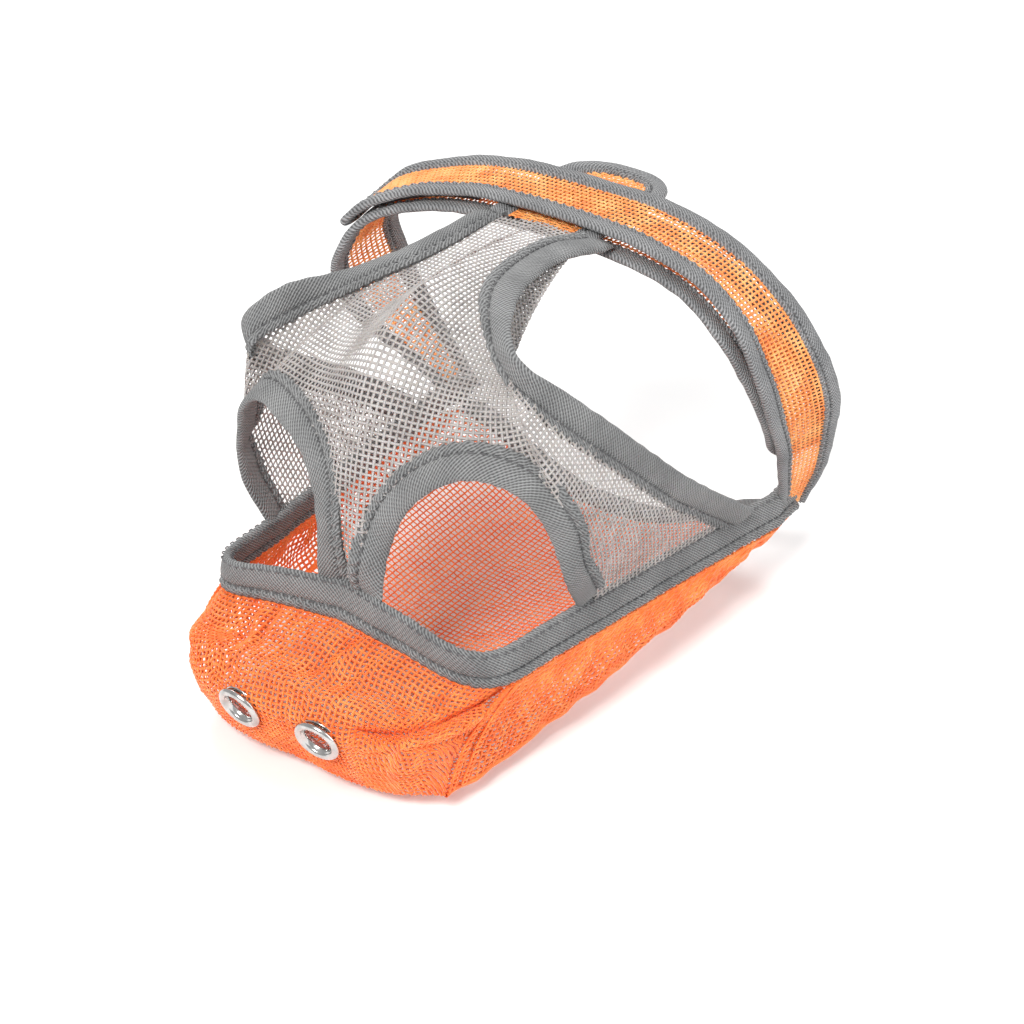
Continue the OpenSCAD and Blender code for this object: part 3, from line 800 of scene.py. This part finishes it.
luv = np.empty(len(me.loops) * 2)
me.uv_layers.active.data.foreach_get("uv", luv)
li = np.empty(len(me.loops), int)
me.loops.foreach_get("vertex_index", li)
uvl[li] = luv.reshape(-1, 2)
bpy.data.objects.remove(pat)
area3 = np.linalg.norm(np.cross(V[T[:, 1]] - V[T[:, 0]], V[T[:, 2]] - V[T[:, 0]]), axis=1).sum() / 2
e1, e2 = uvl[T[:, 1]] - uvl[T[:, 0]], uvl[T[:, 2]] - uvl[T[:, 0]]
area2 = np.abs(e1[:, 0] * e2[:, 1] - e1[:, 1] * e2[:, 0]).sum() / 2
line = np.nonzero(np.abs(V[:, 0]) < 0.01)[0]
lo_v, hi_v = line[np.argmin(V[line, 2])], line[np.argmax(V[line, 2])]
d = uvl[hi_v] - uvl[lo_v]
ang = math.atan2(d[0], d[1])
rot = np.array([[math.cos(ang), -math.sin(ang)], [math.sin(ang), math.cos(ang)]])
cloth = (uvl - uvl[lo_v]) @ rot.T * math.sqrt(area3 / area2)
face = net("face_mesh", V, T, cloth[:, 0], cloth[:, 1], (1.28, 1.28), (0.66, 0.66), 0.3, 0.08, tulle_mat, "mask",
           "grey_mesh")
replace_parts(face, "face_panel")

# ---------------------------------------------------------------- bindings on the mask
TAPE = dict(mat=tape_mat, body="mask")


def longer(p, a, b):
    """A curve run straight on by a at its start and b at its end."""
    return np.vstack([p[0] + a * unit(p[0] - p[1]), p, p[-1] + b * unit(p[-1] - p[-2])])


for side, s in (("left", 1), ("right", -1)):
    ob, _ = tape("eye_tape_" + side, longer(eye_edge(s), 2.2, 4.5) * [s, 1, 1],
                 longer(eye_band(s, bind_w), 2.2, 4.5) * [s, 1, 1], seed=40 + s, pucker=1.3, **TAPE)
    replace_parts(ob, "eye_binding_" + side)
    ob, _ = tape("ear_tape_" + side, longer(ear_line(s, -bind_w / 2, 96), 3, 9) * [s, 1, 1],
                 longer(ear_line(s, bind_w / 2, 96), 3, 9) * [s, 1, 1], seed=50 + s, pucker=1.2, **TAPE)
    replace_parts(ob, "ear_binding_" + side)

mid = np.vstack([spline(seam_pts, np.linspace(0, 8, 120)), [[51.2, 64, 24.3], [50.8, 68, 23.8], [50.2, 72, 22.8]]])
ob, _ = tape("seam_tape", both_sides(lean(mid, seam_w / 2)), both_sides(lean(mid, -seam_w / 2)), thin_ends=False,
             seed=61, groove=(0.1, GROOVE), thick=2.5, **TAPE)
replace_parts(ob, "seam_binding")
edge = chin_at(np.linspace(-1, 1, 129), np.ones(129))
ob, _ = tape("throat_tape", edge + [0, 5.4, 0.6], edge + [0, -1.4, -0.1], seed=71, **TAPE)
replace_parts(ob, "throat_binding")


# ---------------------------------------------------------------- straps
def outline(l, w, r, d, root):
    """Outline of a strap from its root, round its far end and back, d inside."""
    rr = r - d
    x = np.linspace(root, l - r, 160)
    a = np.linspace(0, math.pi / 2, 24)[1:]
    near = np.vstack([np.stack([x, np.full_like(x, d)], 1),
                      np.stack([l - r + rr * np.sin(a), r - rr * np.cos(a)], 1)])
    far = near[::-1] * [1, -1] + [0, w]
    y = np.linspace(near[-1, 1], far[0, 1], 8)[1:-1]
    return np.vstack([near, np.stack([np.full_like(y, l - d), y], 1), far])


UNDER = 3.6  # how far the mesh's edge lies inside the strap's outline, under the tape


def strap(base, l, w, r, root, place, body, seed, nodes):
    """A strap of mesh with its tape. Gives every piece, and the mesh."""
    o, i = outline(l, w, r, 0.0, root), outline(l, w, r, edge_w, root)
    bound, stitching = tape(base + "_tape", place(o[:, 0], o[:, 1]), place(i[:, 0], i[:, 1]), strap_tape_mat, body,
                            seed=seed, thin_ends=False, pucker=0.9)
    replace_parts(bound, nodes[1])
    rows, cols = int(l - root), 20
    q, x = np.meshgrid(np.linspace(0, 1, cols + 1), np.linspace(root, l - UNDER, rows + 1))
    cut = np.where(x > l - r, r - np.sqrt(np.maximum((r - UNDER) ** 2 - (x - (l - r)) ** 2, 0)), UNDER)
    y = cut + (w - 2 * cut) * q
    P = place(x.ravel(), y.ravel(), 0.0).reshape(rows + 1, cols + 1, 3)
    V, T = grid_arrays(P)
    along = np.repeat(row_lengths(P, 0)[:, cols // 2][:, None], cols + 1, 1)
    mesh = net(base + "_mesh", V, T, row_lengths(P, 1, True).ravel(), along.ravel(), (1.85, 1.22), (0.74, 0.66), 0.5,
               0.12, lit_collar_mat, body, "orange_mesh")
    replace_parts(mesh, nodes[0])
    return [bound, stitching, mesh], mesh


def patch(name, a0, a1, w0, w1, t, place, h, mat, body, node):
    """A rectangle of hook or loop, t thick, h above the strap's middle surface."""
    rows, cols = 24, 12
    x, y = np.meshgrid(np.linspace(a0, a1, rows + 1), np.linspace(w0, w1, cols + 1), indexing="ij")
    top = place(x.ravel(), y.ravel(), h + t / 2)
    low = place(x.ravel(), y.ravel(), h - t / 2)
    g = (rows + 1) * (cols + 1)
    k = np.arange(g).reshape(rows + 1, cols + 1)
    q1 = np.stack([k[:-1, :-1], k[:-1, 1:], k[1:, 1:], k[1:, :-1]], -1).reshape(-1, 4)
    rim = np.r_[k[0], k[1:, -1], k[-1, -2::-1], k[-2:0:-1, 0]]
    q3 = np.stack([rim, np.roll(rim, -1), np.roll(rim, -1) + g, rim + g], 1)
    ob = make(name, np.vstack([top, low]), np.vstack([q1, q1[:, ::-1] + g, q3]), mat, body)
    face_outwards(ob)
    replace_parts(ob, node)
    return ob


def spot(place, x, y):
    """One point of a strap, in metres."""
    return place(np.array([x]), np.array([y]))[0] * MM


patch_t, patch_edge = 0.8, 7.5
patch_h = (mesh_t + patch_t) / 2 + gap
across = (patch_edge, ring_w - patch_edge)

made, outer_mesh = strap("outer", outer_l, ring_w, tip_r, -9.0, outer_place, "outer_strap", 81,
                         ("outer_strap", "outer_strap_binding"))
made.append(patch("outer_hooks", outer_l - 34, outer_l - 8, *across, patch_t, outer_place, -patch_h, hook_mat,
                  "outer_strap", "outer_hook_patch"))
p0, p1 = spot(outer_place, 0.0, 13.2), spot(outer_place, 14.0, 13.2)
for ob in made:
    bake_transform(ob)

made, inner_mesh = strap("inner", inner_l, ring_w, tip_r, -9.9, inner_place, "inner_strap", 91,
                         ("inner_strap", "inner_strap_binding"))
made.append(patch("inner_loops", inner_l - 205, inner_l - 160, *across, patch_t, inner_place, patch_h, loop_mat,
                  "inner_strap", "inner_loop_patch"))
# the bend is measured upwards and inwards, because the far end comes down to the root's height on the other side
p0 = spot(inner_place, 0.0, 13.2)
p1 = p0 + np.array([3.3, -3.3, 9.9]) * MM
for ob in made:
    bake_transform(ob)

made, tongue_mesh = strap("tongue", tongue_l, tongue_w, tongue_r, -3.5, tongue_place, "tongue", 97,
                          ("forehead_tongue", "tongue_binding"))
made.append(patch("tongue_hooks", 8, 24, 9, tongue_w - 9, 0.6, tongue_place, -0.95, hook_mat, "tongue",
                  "tongue_hook_patch"))
p0, p1 = spot(tongue_place, 0.0, 15.0), spot(tongue_place, 9.0, 15.0)
for ob in made:
    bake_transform(ob)

# ---------------------------------------------------------------- floor, light, camera
fm, nt, b = nodes_of("floor")
b.inputs["Base Color"].default_value = (0.9, 0.9, 0.9, 1)
b.inputs["Roughness"].default_value = 0.6
me = bpy.data.meshes.new("floor")
me.from_pydata([(-4, -4, 0), (4, -4, 0), (4, 4, 0), (-4, 4, 0)], [], [(0, 1, 2, 3)])
me.materials.append(fm)
floor = bpy.data.objects.new("floor", me)
floor.location = (0, 0, -0.0002)
bpy.context.scene.collection.objects.link(floor)

world = bpy.data.worlds.new("studio")
bpy.context.scene.world = world
world.use_nodes = True
world.node_tree.nodes["Background"].inputs["Color"].default_value = (1, 1, 1, 1)
world.node_tree.nodes["Background"].inputs["Strength"].default_value = 0.58


def lamp(name, at, to, size, power, colour=(1, 1, 1)):
    light = bpy.data.lights.new(name, "AREA")
    light.size, light.energy, light.color = size, power, colour
    o = bpy.data.objects.new(name, light)
    o.location = at
    o.rotation_euler = (Vector(to) - Vector(at)).to_track_quat("-Z", "Y").to_euler()
    bpy.context.scene.collection.objects.link(o)


lamp("key", (0.15, -0.75, 0.85), (0, 0, 0.05), 0.35, 12.0, (1, 0.985, 0.96))
lamp("fill", (0.9, 0.1, 0.5), (0, 0, 0.05), 0.8, 4.0)
lamp("rim", (-0.6, 0.6, 0.7), (0, 0, 0.05), 0.5, 5.0)

cam = bpy.data.cameras.new("camera")
cam.lens, cam.sensor_width = 82.3, 36
cam.shift_y = -0.0215
cam.clip_start, cam.clip_end = 0.02, 20
co = bpy.data.objects.new("camera", cam)
bpy.context.scene.collection.objects.link(co)
aim = Vector((17.1, -6.93, 51.84)) * MM
distance, az, el = 0.54, math.radians(34), math.radians(31)
back = Vector((math.sin(az) * math.cos(el), -math.cos(az) * math.cos(el), math.sin(el)))
co.location = aim + back * distance
co.rotation_mode = "QUATERNION"
co.rotation_quaternion = (-back).to_track_quat("-Z", "Y")
bpy.context.scene.camera = co
bpy.context.scene.view_settings.view_transform = "Standard"
